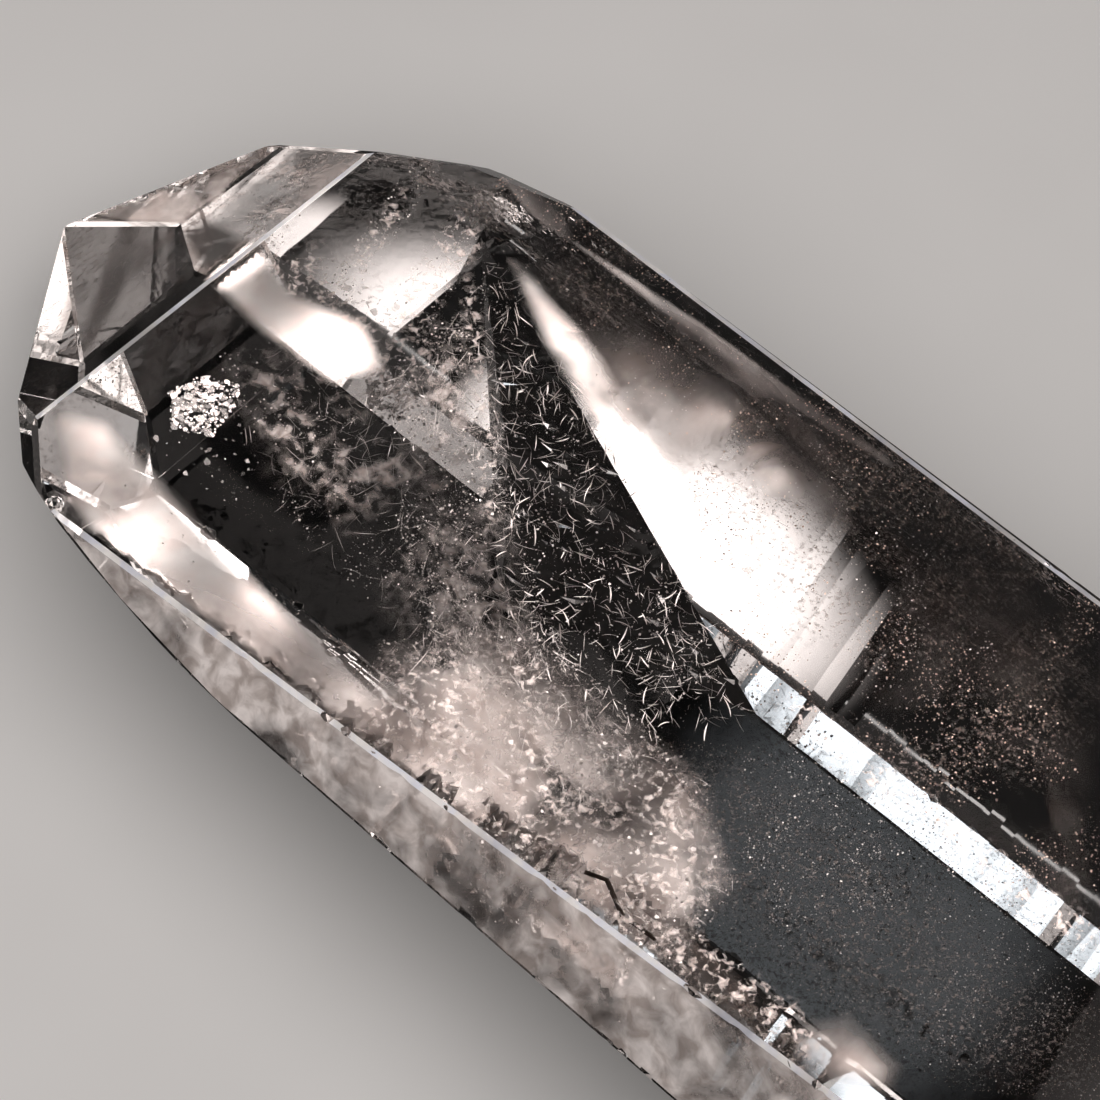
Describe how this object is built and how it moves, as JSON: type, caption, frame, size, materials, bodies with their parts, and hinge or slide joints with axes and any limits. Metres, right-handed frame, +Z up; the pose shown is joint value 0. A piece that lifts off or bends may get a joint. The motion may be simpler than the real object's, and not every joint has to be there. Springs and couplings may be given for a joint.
{
  "type": "lemurian quartz point",
  "caption": "Clear natural quartz point: a tapering six-sided prism with laddered growth ledges, a faceted tip and a broken foot, lying on its narrow back face.",
  "frame": {"origin": "centre of the bounding box at the level that the crystal rests on", "axes": "+X along the crystal towards its point, +Z up, square to the narrow back face that it lies on"},
  "size_m": [0.1002, 0.0266, 0.0224],
  "materials": {
    "quartz": "clear colourless quartz, glassy faces, with white veils and flakes inside and worn, chipped edges"
  },
  "bodies": {
    "root": {"quartz_point": "quartz"}
  },
  "joints": []
}
